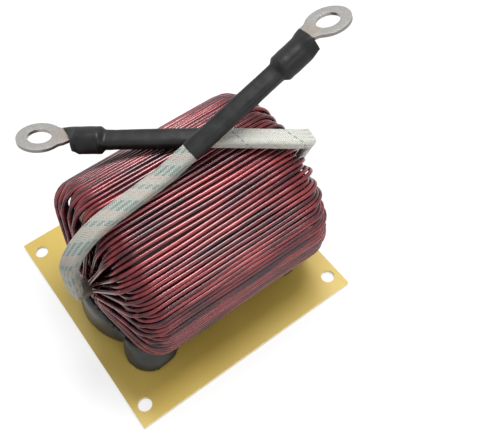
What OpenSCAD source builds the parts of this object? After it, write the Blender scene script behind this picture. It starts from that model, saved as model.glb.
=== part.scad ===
// Toroidal power choke: six enamelled wires wound side by side over three stacked ring cores,
// bedded in black adhesive on a square glass-epoxy board. Both leads end in ring lugs.
// Millimetres. The origin is the centre of the board's underside, and the cores' axis lies along X.

/* [Base board] */
// Board length along the core axis
board_x = 100; // [96:1:130]
// Board width across the core axis
board_y = 100; // [96:1:130]
// Board thickness
board_t = 1.6; // [1:0.1:3]
// Corner radius of the board
board_corner = 0.6; // [0.2:0.1:3]
// Screw hole diameter
hole_d = 5.5; // [3:0.5:6.5]
// Distance between screw holes along the core axis
hole_gap_x = 90; // [84:1:90]
// Distance between screw holes across the core axis
hole_gap_y = 85; // [80:1:88]

/* [Core stack] */
// Outside diameter of one coated ring core
core_od = 69.4; // [68:0.1:70.4]
// Inside diameter of one coated ring core
core_id = 34.7; // [34.6:0.1:36]
// Height of one coated ring core
core_h = 21.4; // [20.4:0.1:21.4]
// Rounding of the coated edges
core_edge = 2; // [1.6:0.1:3]
// Thickness of the insulating wrap
tape_t = 0.25; // [0.15:0.01:0.3]
// Distance of the stack's middle from the board's middle, along the core axis
stack_x = 4.8; // [2:0.1:6]
// Distance of the core axis from the board's middle, across it
stack_y = -7; // [-10:0.5:-4]

/* [Winding] */
// Turns of each wire round the cores
turns = 17; // [8:1:17]
// Wire diameter over the enamel
wire_d = 1.76; // [1.5:0.01:1.78]
// Angle from one wire to the next round the cores
wire_step = 2.92; // [2.92:0.01:2.95]
// Length of straight wire from the stack's middle to the first bend
straight_half = 30.8; // [30.6:0.1:31.4]
// Centre-line radius of the lowest wire's bend over the core edge
edge_bend = 6.4; // [6.3:0.1:6.8]

/* [Leads] */
// Wall of the woven sleeve
sleeve_wall = 0.35; // [0.25:0.05:0.4]
// Wall of the shrunk tube
shrink_wall = 0.4; // [0.3:0.05:0.5]
// Length of the start lead's shrunk tube behind the lug's barrel
start_shrink = 38.6; // [20:0.1:44]
// Length of the finish lead's shrunk tube behind the lug's barrel
finish_shrink = 36; // [20:0.1:36.2]
// Hole in the ring lug
lug_hole_d = 8.4; // [6.4:0.1:8.4]
// Outside diameter of the ring
lug_ring_d = 16.2; // [14:0.1:18]
// Thickness of the ring
lug_t = 1.7; // [1.2:0.1:2]
// Outside diameter of the lug's barrel
barrel_d = 8.4; // [7.8:0.1:9]
// Length of the lug's barrel, with its closed front
barrel_l = 13.5; // [10:0.5:15]

/* [Hidden] */
$fn = 48;

// Clear space that keeps neighbouring pieces from cutting into each other.
fit = 0.02;
// Adhesive film between the lowest wires and the board.
film = 0.1;

// Winding: six wires lie side by side. Each one crosses the end face on a level of its own and
// enters the bore on a ring of its own, so that the wires never meet where they crowd together.
strands = 6;
levels = [0, 2, 4, 1, 3, 5];
wire_r = wire_d / 2;
turn_step = strands * wire_step;
first_az = 180 - (turns * strands - 1) * wire_step / 2;
outer_r = core_od / 2 + tape_t + wire_r + fit;
// What each level adds: to the straight, to the bend over the edge, and to the lean in degrees.
straight_more = 0.2;
bend_more = 0.55;
lean = 2.4;
// Rings in the bore: the outermost, the step from ring to ring, and the bend at the bore's mouth.
bore_gap = 0.12;
ring_r = core_id / 2 - tape_t - wire_r - bore_gap;
ring_step = 1.98;
mouth_bend = 3.4;
// The bends and slanting runs are a hair thinner than the straights that they plug into.
slim = 0.02;
plug = 0.2;

// Start and finish wires, between their rings in the bore and the flat bundle of the lead.
// Spacing in the bundle, 3 wires across by 2 through.
lead_pitch = 1.8;
// Zigzag column beside the axis: height, half width, spacing, sideways place and inward slide.
column_z = 1.7;
column_half = 0.8;
column_pitch = 1.1;
column_shift = -0.85;
column_slide = 5.8;
// How far the rings turn with their wires' azimuth, and the tilt of each end's bundle.
gather_az = 0.4;
gather_tilt = 6;
finish_tilt = 25;
gather_bend = 8.5;
bundle_bend = 5;
// Places along the axis where the way bends, counted from the stack's middle to its mouth.
station_1 = 31.5;
station_2 = 10;
station_3 = -2;
station_4 = 30;
station_5 = 37;
station_6 = 42;

axis_z = board_t + film + outer_r + wire_r;
stack = [stack_x, stack_y, axis_z];
crest = axis_z + outer_r + wire_r;

// Adhesive: clear space round the wound drum, taper of each lobe's foot, and the lobes. Each lobe
// is a foot at x, y of radius r, and a round head at x, y, z of radius r that it climbs to.
bead_gap = 0.14;
foot_taper = 1.2;
foot_h = 3;
lobes = [
    [[-17.5, 0.6, 25.4], [-35.4, -3, 24, 5.8]],
    [[-29.3, -24.3, 10.2], [-30, -21, 13, 5.5]],
    [[-27, 11, 9], [-30, 6, 14, 5.5]],
    [[24, -7, 24], [44.5, -7, 20, 5]],
    [[33, -23, 9], [35, -20, 10, 4]],
];
// Slab of adhesive under the drum, whose surface follows the wires.
slab = [60, 34, 8];
slab_x = 4;

// Sleeve and shrunk tube sections: half width, half thickness.
bundle_w = lead_pitch + wire_r;
bundle_t = lead_pitch / 2 + wire_r;
sleeve_gap = 0.1;
sleeve_w = bundle_w + sleeve_gap + sleeve_wall;
sleeve_th = bundle_t + sleeve_gap + sleeve_wall;
shrink_gap = 0.06;
corner_n = 5;
// Shrunk tube: length of its slope, its gap behind the barrel, its cut end and how far that end
// is drawn in under the lug.
shrink_slope = 2.2;
shrink_step_gap = 0.8;
mouth_x = -0.5;
mouth_tuck = 0.6;
shrink_w = sleeve_w + shrink_gap + shrink_wall;
shrink_th = sleeve_th + shrink_gap + shrink_wall;
// Lug: the barrel's bore and where its round part ends, the pressed half section, the neck, and
// the distance from the neck's root to the screw hole.
barrel_r = barrel_d / 2;
barrel_bore_r = 3.02;
barrel_front = 4;
press_x = -0.3;
press_ease = 0.3;
press_n = 40;
slice = 0.1;
neck_half = 3.9;
neck_arc = 1.8;
neck_seat = 0.6;
lug_reach = 8.2;
// Each lug: the way its flat side faces, height of the ring over the barrel's axis, upward bend
// and sideways turn of the ring, and slant of the shrunk tube's cut end.
start_up = [-0.3, 0.3, 1];
start_lift = 2.3;
start_bend = 14;
start_yaw = 0;
start_slant = -0.5;
finish_up = [0.17, 0.2, 0.97];
finish_lift = 0.85;
finish_bend = -8;
finish_yaw = 14;
finish_slant = -1;
lead_rest = crest + shrink_th + 0.2;

// Lead routes in the board's frame: corner points and the bend radius at each of them.
out_start = stack_x - 47.95;
out_finish = stack_x + 49.2;
start_mouth = [57.3, -10.2, lead_rest + 22.2];
finish_mouth = [-20.6, 25.4, lead_rest - 3];
start_route = [
    [stack_x - station_6, stack_y, axis_z],
    [out_start, stack_y, axis_z],
    [out_start, stack_y - 5.2, lead_rest - 0.2],
    [-2.8, stack_y - 3.5, lead_rest],
    start_mouth,
];
start_bends = [0, 4.2, 15, 30, 0];
finish_route = [
    [stack_x + station_6, stack_y, axis_z],
    [out_finish, stack_y, axis_z],
    [50.2, stack_y - 13, lead_rest - 11.7],
    [44.5, stack_y - 18.4, lead_rest - 3.1],
    [20, stack_y - 2.3, lead_rest + 0.8],
    finish_mouth,
];
finish_bends = [0, 4.2, 12, 7, 30, 0];
// How far the wires stop short of the barrel's front, and the sleeve of the barrel's back.
wire_stop = barrel_front + 0.3;
sleeve_stop = barrel_l + 0.6;
mouth_cover = 1.2;

function unit(v) = v / norm(v);
function at(x, r, az) = [x, r * cos(az), r * sin(az)];
function angle_of(u, v) = acos(min(1, max(-1, u * v)));
function legs(p) = [for (i = [0:len(p) - 2]) unit(p[i + 1] - p[i])];
function spin_yz(p, a) = [p[0], p[1] * cos(a) - p[2] * sin(a), p[1] * sin(a) + p[2] * cos(a)];

// Wide axis of a flat lead along each leg, carried round the bends without twist.
function carry(w, u, v) =
    let (a = angle_of(u, v), b = unit(cross(u, v)), n = cross(b, u))
    b * (w * b) + (n * cos(a) - u * sin(a)) * (w * n);
function wides(d, w, i = 0) =
    i == len(d) - 1 ? [w] : concat([w], wides(d, carry(w, d[i], d[i + 1]), i + 1));

// Corner points of a line that runs beside a route, offset by a across the lead and b through it.
function beside(route, w0, a, b) =
    let (d = legs(route), w = wides(d, w0), n = len(route))
    [for (i = [0:n - 1])
        let (k = min(i, n - 2), off = w[k] * a + cross(d[k], w[k]) * b)
        i == 0 || i == n - 1
            ? route[i] + off
            : let (q = d[i - 1], s = d[i], t = angle_of(q, s), ax = unit(cross(q, s)),
                   m = unit(s - q), o = w[i - 1] * a + cross(q, w[i - 1]) * b)
              route[i] + ax * (o * ax) + m * (o * cross(ax, q)) / cos(t / 2)];
function beside_bends(route, bends, w0, a, b) =
    let (d = legs(route), w = wides(d, w0))
    [for (i = [0:len(route) - 1])
        i == 0 || i == len(route) - 1
            ? 0
            : let (q = d[i - 1], ax = unit(cross(q, d[i])),
                   o = w[i - 1] * a + cross(q, w[i - 1]) * b)
              bends[i] - o * cross(ax, q)];

// Round rod between two points.
module rod(a, b, r) {
    n = norm(b - a);
    z = (b - a) / n;
    x = unit(abs(z[0]) < 0.9 ? cross(z, [1, 0, 0]) : cross(z, [0, 1, 0]));
    y = cross(z, x);
    multmatrix([[x[0], y[0], z[0], a[0]], [x[1], y[1], z[1], a[1]], [x[2], y[2], z[2], a[2]]])
        cylinder(r = r, h = n);
}

// Bend of radius rho between legs u and v that meet at p. Its ends reach a little into both legs.
module elbow(p, u, v, rho, r) {
    t = angle_of(u, v);
    c = p + unit(v - u) * rho / cos(t / 2);
    x = unit(p - u * rho * tan(t / 2) - c);
    z = cross(x, u);
    e = plug / rho * 180 / PI;
    multmatrix([[x[0], u[0], z[0], c[0]], [x[1], u[1], z[1], c[1]], [x[2], u[2], z[2], c[2]]])
        rotate([0, 0, -e])
            rotate_extrude(angle = t + 2 * e)
                translate([rho, 0])
                    circle(r = r);
}

// Round wire along corner points, with a bend at each of them.
module wire(p, bends, r) {
    n = len(p);
    d = legs(p);
    t = [for (i = [0:n - 1])
        i == 0 || i == n - 1 ? 0 : bends[i] * tan(angle_of(d[i - 1], d[i]) / 2)];
    for (i = [0:n - 2])
        rod(p[i] + d[i] * t[i], p[i + 1] - d[i] * t[i + 1], r);
    for (i = [1:n - 2])
        elbow(p[i], d[i - 1], d[i], bends[i], r - slim);
}

// One turn on level q: up one end face, over the outside and down the other end face.
function edge_x(q) =
    straight_half + q * straight_more
    + (edge_bend + q * bend_more) * tan((90 - q * lean) / 2);
function ring(q) = ring_r - q * ring_step;
function bore_x(q) = edge_x(q) + (outer_r - ring(q)) * tan(q * lean);
function turn_points(q, az) = [
    at(bore_x(q), ring(q), az),
    at(edge_x(q), outer_r, az),
    at(-edge_x(q), outer_r, az),
    at(-bore_x(q), ring(q), az),
];
function turn_bends(q) =
    let (e = edge_bend + q * bend_more)
    [mouth_bend, e, e, mouth_bend];

// Way of one wire from its ring in the bore to its place in the lead. The rings first swing to
// one column beside the axis, the column slides inward as a zigzag and closes up to 3 by 2.
function row(q) = strands - 1 - q;
function side_of(q) = row(q) % 2 == 1 ? 1 : -1;
function gather(q, az, s) =
    let (k = row(q), a = gather_az * az, y = column_shift + (k - 2.5) * column_pitch,
         z = column_z + column_half * side_of(q), e = lead_pitch / 2 * side_of(q),
         p = [
             [station_1, ring(q) * cos(a), ring(q) * sin(a)],
             [station_2, ring(q) - column_slide, z],
             [station_3, y, z],
             [-station_4, y, z],
             [-station_5, (k - 2.5) * column_pitch, e],
             [-station_6, (floor(k / 2) - 1) * lead_pitch, e],
         ])
    [for (i = [0:5])
        spin_yz([s * p[i][0], p[i][1], s * p[i][2]], i < 5 || s > 0 ? gather_tilt : finish_tilt)];
gather_bends = [gather_bend, gather_bend, gather_bend, bundle_bend, bundle_bend, bundle_bend];

// Lead part of one wire, from the bundle to the lug's barrel, in the stack's frame.
start_wide = spin_yz([0, 1, 0], gather_tilt);
finish_wide = spin_yz([0, 1, 0], finish_tilt);
function shifted(route) = [for (v = route) v - stack];
function shorten(p, l) =
    let (n = len(p), u = unit(p[n - 1] - p[n - 2]))
    [for (i = [0:n - 1]) i == n - 1 ? p[i] - u * l : p[i]];
function tail(v) = [for (i = [1:len(v) - 1]) v[i]];
function flip(v) = [for (i = [len(v) - 1:-1:0]) v[i]];
function lead_a(q) = (floor(row(q) / 2) - 1) * lead_pitch;
function lead_b(q) = -lead_pitch / 2 * side_of(q);

module strand(n) {
    q = levels[n - 1];
    first = first_az + (n - 1) * wire_step;
    last = first + (turns - 1) * turn_step;
    s_route = shorten(shifted(start_route), wire_stop);
    f_route = shorten(shifted(finish_route), wire_stop);
    s_lead = tail(beside(s_route, start_wide, lead_a(q), lead_b(q)));
    f_lead = tail(beside(f_route, finish_wide, lead_a(q), lead_b(q)));
    s_bends = tail(beside_bends(s_route, start_bends, start_wide, lead_a(q), lead_b(q)));
    f_bends = tail(beside_bends(f_route, finish_bends, finish_wide, lead_a(q), lead_b(q)));
    points = concat(
        flip(s_lead), flip(gather(q, first, 1)),
        [for (t = [0:turns - 1]) each turn_points(q, first + t * turn_step)],
        gather(q, 360 - last, -1), f_lead);
    bends = concat(
        flip(s_bends), flip(gather_bends),
        [for (t = [0:turns - 1]) each turn_bends(q)],
        gather_bends, f_bends);
    color("#6b1f22")
        translate(stack)
            wire(points, bends, wire_r);
}

module strand_1() { strand(1); }
module strand_2() { strand(2); }
module strand_3() { strand(3); }
module strand_4() { strand(4); }
module strand_5() { strand(5); }
module strand_6() { strand(6); }

// Rectangle with rounded corners from x0, y0 to x1, y1.
module round_rect(x0, y0, x1, y1, r) {
    translate([x0 + r, y0])
        square([x1 - x0 - 2 * r, y1 - y0]);
    translate([x0, y0 + r])
        square([x1 - x0, y1 - y0 - 2 * r]);
    for (x = [x0 + r, x1 - r], y = [y0 + r, y1 - r])
        translate([x, y])
            circle(r = r);
}

// Board with its four screw holes.
module base_board() {
    color("#bfa65c")
        difference() {
            linear_extrude(board_t)
                round_rect(-board_x / 2, -board_y / 2, board_x / 2, board_y / 2, board_corner);
            for (x = [-1, 1], y = [-1, 1])
                translate([x * hole_gap_x / 2, y * hole_gap_y / 2, -1])
                    cylinder(d = hole_d, h = board_t + 2);
        }
}

// Coated ring cores, side by side along the core axis.
module ring_core(n) {
    color("#3f6b52")
        translate([stack_x + (n - 2) * core_h - core_h / 2 + fit / 2, stack_y, axis_z])
            rotate([0, 90, 0])
                rotate_extrude()
                    round_rect(core_id / 2, 0, core_od / 2, core_h - fit, core_edge);
}
module core_1() { ring_core(1); }
module core_2() { ring_core(2); }
module core_3() { ring_core(3); }

// Insulating wrap over the whole stack.
module core_wrap() {
    l = 3 * core_h;
    color("#3a2a28")
        translate([stack_x - l / 2, stack_y, axis_z])
            rotate([0, 90, 0])
                rotate_extrude()
                    difference() {
                        round_rect(core_id / 2 - tape_t, -tape_t, core_od / 2 + tape_t,
                                   l + tape_t, core_edge + tape_t);
                        round_rect(core_id / 2 - fit / 2, -fit / 2, core_od / 2 + fit / 2,
                                   l + fit / 2, core_edge + fit / 2);
                    }
}

// Half outline of the wound drum, with clearance c, as x and radius.
function drum_profile(c) =
    let (q = strands - 1, b = q * lean, a = straight_half + q * straight_more,
         e = edge_bend + q * bend_more, o = wire_r + c, x2 = bore_x(q) + o / cos(b))
    concat(
        [[0, outer_r + o]],
        [for (t = [0:(90 - b) / 6:90 - b + 0.01])
            [a + (e + o) * sin(t), outer_r - e + (e + o) * cos(t)]],
        [[x2 - 6 * tan(b), ring(q) + 6], [x2 - 2, 0], [0, 0]]);
module drum(c) {
    p = drum_profile(c);
    translate(stack)
        for (s = [0, 1])
            mirror([s, 0, 0])
                rotate([0, 90, 0])
                    rotate_extrude()
                        polygon([for (v = p) [v[1], v[0]]]);
}

// Black adhesive: lobes that well up round the foot of the winding and climb its end faces.
module lobe(foot, head) {
    hull() {
        translate([foot[0], foot[1], board_t])
            cylinder(r1 = foot[2], r2 = foot[2] - foot_taper, h = foot_h);
        translate([head[0], head[1], head[2]])
            sphere(r = head[3]);
    }
}
module adhesive_bed() {
    color("#34332c")
        difference() {
            union() {
                for (l = lobes)
                    lobe(l[0], l[1]);
                translate([slab_x - slab[0] / 2, stack_y - slab[1] / 2, board_t])
                    cube(slab);
            }
            drum(bead_gap);
        }
}

// Closed tube from rings of points: outside and inside skins joined at both ends.
module tube(outer, inner) {
    m = len(outer);
    n = len(outer[0]);
    all = concat([for (r = outer) each r], [for (r = inner) each r]);
    function at_out(i, j) = i * n + j % n;
    function at_in(i, j) = (m + i) * n + j % n;
    faces = concat(
        [for (i = [0:m - 2], j = [0:n - 1])
            each [[at_out(i, j), at_out(i + 1, j), at_out(i + 1, j + 1)],
                  [at_out(i, j), at_out(i + 1, j + 1), at_out(i, j + 1)]]],
        [for (i = [0:m - 2], j = [0:n - 1])
            each [[at_in(i, j), at_in(i + 1, j + 1), at_in(i + 1, j)],
                  [at_in(i, j), at_in(i, j + 1), at_in(i + 1, j + 1)]]],
        [for (j = [0:n - 1])
            each [[at_out(0, j), at_out(0, j + 1), at_in(0, j + 1)],
                  [at_out(0, j), at_in(0, j + 1), at_in(0, j)]]],
        [for (j = [0:n - 1])
            each [[at_out(m - 1, j), at_in(m - 1, j + 1), at_out(m - 1, j + 1)],
                  [at_out(m - 1, j), at_in(m - 1, j), at_in(m - 1, j + 1)]]]);
    polyhedron(points = all, faces = faces);
}

// Flat-oval section: half width w, half thickness t, corner radius r.
function oval(w, t, r) =
    [for (c = [0:3], i = [0:corner_n - 1])
        let (a = c * 90 + i * 90 / (corner_n - 1), sx = c == 0 || c == 3 ? 1 : -1,
             sy = c < 2 ? 1 : -1)
        [sx * (w - r) + r * cos(a), sy * (t - r) + r * sin(a)]];
// Round section of as many points, outside a circle of radius r.
function round_section(r) =
    let (m = 4 * corner_n)
    [for (i = [0:m - 1]) r / cos(180 / m) * [cos((i + 0.5) * 360 / m), sin((i + 0.5) * 360 / m)]];

// Frames along a route with round bends: point, wide axis, thin axis.
function frames(route, bends, w0, arc = 10) =
    let (d = legs(route), w = wides(d, w0), n = len(route))
    [for (i = [0:n - 1])
        each i == 0 || i == n - 1
            ? let (k = min(i, n - 2)) [[route[i], w[k], cross(d[k], w[k])]]
            : let (q = d[i - 1], s = d[i], t = angle_of(q, s), ax = unit(cross(q, s)),
                   m = max(2, ceil(t / arc)), r = bends[i],
                   c = route[i] + unit(s - q) * r / cos(t / 2),
                   x = unit(route[i] - q * r * tan(t / 2) - c), wi = w[i - 1])
              [for (j = [0:m])
                let (a = t * j / m, u = q * cos(a) - x * sin(a), nn = cross(ax, u),
                     n0 = cross(ax, q), ww = ax * (wi * ax) + nn * (wi * n0))
                [c + (x * cos(a) + q * sin(a)) * r, ww, cross(u, ww)]]];
function skin(fr, sec) = [for (f = fr) [for (v = sec) f[0] + f[1] * v[0] + f[2] * v[1]]];

// Woven sleeve over the bundle of six wires.
module sleeve(route, bends, wide) {
    p = shorten(route, sleeve_stop);
    start = p[0] + unit(p[1] - p[0]) * mouth_cover;
    fr = frames(concat([start], tail(p)), bends, wide);
    color("#d9d6c8")
        tube(skin(fr, oval(sleeve_w, sleeve_th, wire_r + sleeve_gap + sleeve_wall)),
             skin(fr, oval(sleeve_w - sleeve_wall, sleeve_th - sleeve_wall,
                           wire_r + sleeve_gap)));
}
module start_sleeve() { sleeve(start_route, start_bends, start_wide); }
module finish_sleeve() { sleeve(finish_route, finish_bends, finish_wide); }

// Frame at the end of a lead: axis, wide axis, thin axis that points up.
function end_frame(route, up) =
    let (n = len(route), u = unit(route[n - 1] - route[n - 2]), y = unit(cross(up, u)))
    [u, y, cross(u, y)];
module at_end(route, up) {
    f = end_frame(route, up);
    o = route[len(route) - 1];
    multmatrix([[f[0][0], f[1][0], f[2][0], o[0]],
                [f[0][1], f[1][1], f[2][1], o[1]],
                [f[0][2], f[1][2], f[2][2], o[2]]])
        children();
}
// Turn of the sleeve's wide axis from the lug's, as the lead arrives.
function roll_of(route, wide, up) =
    let (d = legs(route), w = wides(d, wide), f = end_frame(route, up), e = w[len(w) - 1])
    atan2(e * f[2], e * f[1]);

// Shrunk tube: flat over the sleeve, a step up to the round barrel, a lip drawn in at the lug.
module shrink(route, wide, up, slant, run) {
    roll = roll_of(route, wide, up);
    back = -barrel_l - shrink_step_gap;
    r = barrel_r + shrink_gap;
    flat_r = wire_r + sleeve_gap + sleeve_wall + shrink_gap;
    function section(x, g, flat, cut, tuck) =
        let (sec = flat ? oval(sleeve_w + shrink_gap + g, sleeve_th + shrink_gap + g, flat_r + g)
                        : round_section(r + g))
        [for (v = sec)
            let (y = v[0] * cos(roll) - v[1] * sin(roll), z = v[0] * sin(roll) + v[1] * cos(roll))
            [x + cut * y / r, y, z < 0 ? z * (1 - tuck) : z]];
    stops = [[back - run, true, 0, 0], [back - shrink_slope, true, 0, 0],
             [back, false, 0, 0], [-barrel_front, false, 0, 0],
             [mouth_x, false, slant, mouth_tuck]];
    color("#232426")
        at_end(route, up)
            tube([for (s = stops) section(s[0], shrink_wall, s[1], s[2], s[3])],
                 [for (s = stops) section(s[0], 0, s[1], s[2], s[3])]);
}
module start_heat_shrink() {
    shrink(start_route, start_wide, start_up, start_slant, start_shrink);
}
module finish_heat_shrink() {
    shrink(finish_route, finish_wide, finish_up, finish_slant, finish_shrink);
}

// Ring lug: round barrel for the wires, a neck pressed flat, and a ring with its screw hole.
module lug(bend, yaw, lift) {
    module tongue() {
        translate([1, 0, lift])
            rotate([0, bend, 0])
                rotate(yaw)
                    children();
    }
    module pressed() {
        translate([press_x, 0, 0])
            rotate([90, 0, 90])
                linear_extrude(slice)
                    intersection() {
                        circle(d = barrel_d - press_ease, $fn = press_n);
                        translate([-barrel_d, 0])
                            square([2 * barrel_d, barrel_d]);
                    }
    }
    difference() {
        union() {
            translate([-barrel_l, 0, 0])
                rotate([0, 90, 0])
                    cylinder(d = barrel_d, h = barrel_l - barrel_front);
            hull() {
                translate([-barrel_front - slice, 0, 0])
                    rotate([0, 90, 0])
                        cylinder(d = barrel_d - press_ease, h = slice, $fn = press_n);
                pressed();
            }
            hull() {
                pressed();
                tongue()
                    translate([0, -neck_half + film, film])
                        cube([neck_seat, 2 * (neck_half - film), lug_t - 2 * film]);
            }
            tongue()
                linear_extrude(lug_t)
                    ring_outline();
        }
        translate([-barrel_l - 1, 0, 0])
            rotate([0, 90, 0])
                cylinder(r = barrel_bore_r, h = barrel_l + 1 - barrel_front);
        tongue()
            translate([lug_reach, 0, -1])
                cylinder(d = lug_hole_d, h = lug_t + 2);
    }
}
// Outline of the lug's flat: the ring and the neck that widens into it along two arcs.
module ring_outline() {
    ring_r0 = lug_ring_d / 2;
    cy = neck_half + neck_arc;
    cx = lug_reach - sqrt((ring_r0 + neck_arc) * (ring_r0 + neck_arc) - cy * cy);
    tip = [lug_reach + (cx - lug_reach) * ring_r0 / (ring_r0 + neck_arc),
           cy * ring_r0 / (ring_r0 + neck_arc)];
    translate([lug_reach, 0])
        circle(r = ring_r0);
    difference() {
        polygon([[0, -neck_half], [cx, -neck_half], [tip[0], -tip[1]], [lug_reach, 0],
                 tip, [cx, neck_half], [0, neck_half]]);
        for (s = [-1, 1])
            translate([cx, s * cy])
                circle(r = neck_arc);
    }
}
module start_lug() {
    color("#b5b2aa")
        at_end(start_route, start_up)
            lug(start_bend, start_yaw, start_lift);
}
module finish_lug() {
    color("#b5b2aa")
        at_end(finish_route, finish_up)
            lug(finish_bend, finish_yaw, finish_lift);
}

base_board();
adhesive_bed();
core_1();
core_2();
core_3();
core_wrap();
strand_1();
strand_2();
strand_3();
strand_4();
strand_5();
strand_6();
start_sleeve();
finish_sleeve();
start_heat_shrink();
finish_heat_shrink();
start_lug();
finish_lug();
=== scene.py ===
"""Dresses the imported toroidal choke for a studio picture.

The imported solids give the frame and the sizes. Wires, sleeves, shrunk tubes, lugs, adhesive and
board are remade here with finer surfaces, in the same places, and every piece gets a node material.
Lengths in the classes are millimetres; Blender's objects and the materials' depths are metres.
"""
import logging
import math
from dataclasses import dataclass, field
from enum import Enum

import bmesh
import bpy
from mathutils import Matrix, Vector, noise


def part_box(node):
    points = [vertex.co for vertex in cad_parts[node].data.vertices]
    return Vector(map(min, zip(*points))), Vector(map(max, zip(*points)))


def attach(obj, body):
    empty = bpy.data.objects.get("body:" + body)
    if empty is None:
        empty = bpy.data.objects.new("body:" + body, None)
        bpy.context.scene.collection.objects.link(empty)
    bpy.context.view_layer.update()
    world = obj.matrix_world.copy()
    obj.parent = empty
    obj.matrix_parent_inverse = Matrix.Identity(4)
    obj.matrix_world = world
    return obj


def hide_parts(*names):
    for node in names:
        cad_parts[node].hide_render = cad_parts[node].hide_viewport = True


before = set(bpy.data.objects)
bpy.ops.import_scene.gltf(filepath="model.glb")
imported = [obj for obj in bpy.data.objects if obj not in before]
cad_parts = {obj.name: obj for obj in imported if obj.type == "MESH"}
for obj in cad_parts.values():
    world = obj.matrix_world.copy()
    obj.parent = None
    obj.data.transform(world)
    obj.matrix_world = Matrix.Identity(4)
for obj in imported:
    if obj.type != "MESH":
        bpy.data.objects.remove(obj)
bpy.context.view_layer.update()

MM = 0.001
LOG = logging.getLogger("choke")
WIRES = 6
# Share of a gap past which no more points are put in, because the next one follows closely.
GAP_FULL = 0.98

Triple = tuple[float, float, float]
Colour = Triple
Socket = bpy.types.NodeSocket
Value = Socket | float | tuple


class Side(Enum):
    """End of the winding: the wires' start leaves to the left, their finish to the right."""

    START = 1
    FINISH = -1


# ---------------------------------------------------------------------------- path geometry


def spin_x(point: Vector, degrees: float) -> Vector:
    """Turn a point about the X axis.

    Args:
        point: Point to turn.
        degrees: Angle from Y towards Z.

    Returns:
        The turned point.
    """
    c, s = math.cos(math.radians(degrees)), math.sin(math.radians(degrees))
    return Vector((point.x, point.y * c - point.z * s, point.y * s + point.z * c))


def on_drum(x: float, radius: float, azimuth: float) -> Vector:
    """Point on a drum whose axis is X.

    Args:
        x: Place along the axis.
        radius: Distance from the axis.
        azimuth: Angle from Y towards Z, in degrees.

    Returns:
        The point.
    """
    a = math.radians(azimuth)
    return Vector((x, radius * math.cos(a), radius * math.sin(a)))


def clamp(value: float, low: float = 0.0, high: float = 1.0) -> float:
    """Keep a value between two limits."""
    return min(high, max(low, value))


def ease(value: float, start: float, end: float) -> float:
    """Rise smoothly from 0 at one value to 1 at another.

    Args:
        value: Value to judge.
        start: Where the rise starts.
        end: Where it ends, on either side of the start.

    Returns:
        Share from 0 to 1.
    """
    t = clamp((value - start) / (end - start))
    return t * t * (3 - 2 * t)


def bump_at(value: float, centre: float, width: float) -> float:
    """Share that is 1 at a place and dies away on both sides within about twice a width."""
    return math.exp(-((value - centre) / width) ** 2)


def circle(count: int) -> list[float]:
    """Angles of evenly spaced points once round."""
    return [2 * math.pi * i / count for i in range(count)]


def walk_bend(corner: Vector, into: Vector, away: Vector, radius: float,
              arc: float) -> list[tuple[Matrix, Vector]]:
    """Step round the bend at a corner.

    Args:
        corner: Where the two straight legs would meet.
        into: Direction of the leg before it.
        away: Direction of the leg after it.
        radius: Bend radius.
        arc: Largest turn between two steps, in degrees.

    Returns:
        Turn since the first leg and point of each step.
    """
    angle, axis = into.angle(away), into.cross(away).normalized()
    centre = corner + (away - into).normalized() * radius / math.cos(angle / 2)
    spoke = corner - into * radius * math.tan(angle / 2) - centre
    parts = max(1, math.ceil(math.degrees(angle) / arc))
    turns = [Matrix.Rotation(angle * j / parts, 3, axis) for j in range(parts + 1)]
    return [(turn, centre + turn @ spoke) for turn in turns]


@dataclass
class Station:
    """One place on a lead: point, wide axis, thin axis and the distance run so far."""

    point: Vector
    wide: Vector
    thin: Vector
    run: float = 0.0

    def at(self, place: Vector) -> Vector:
        """Point in metres at a place across and through the lead."""
        return (self.point + self.wide * place.x + self.thin * place.y) * MM


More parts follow.
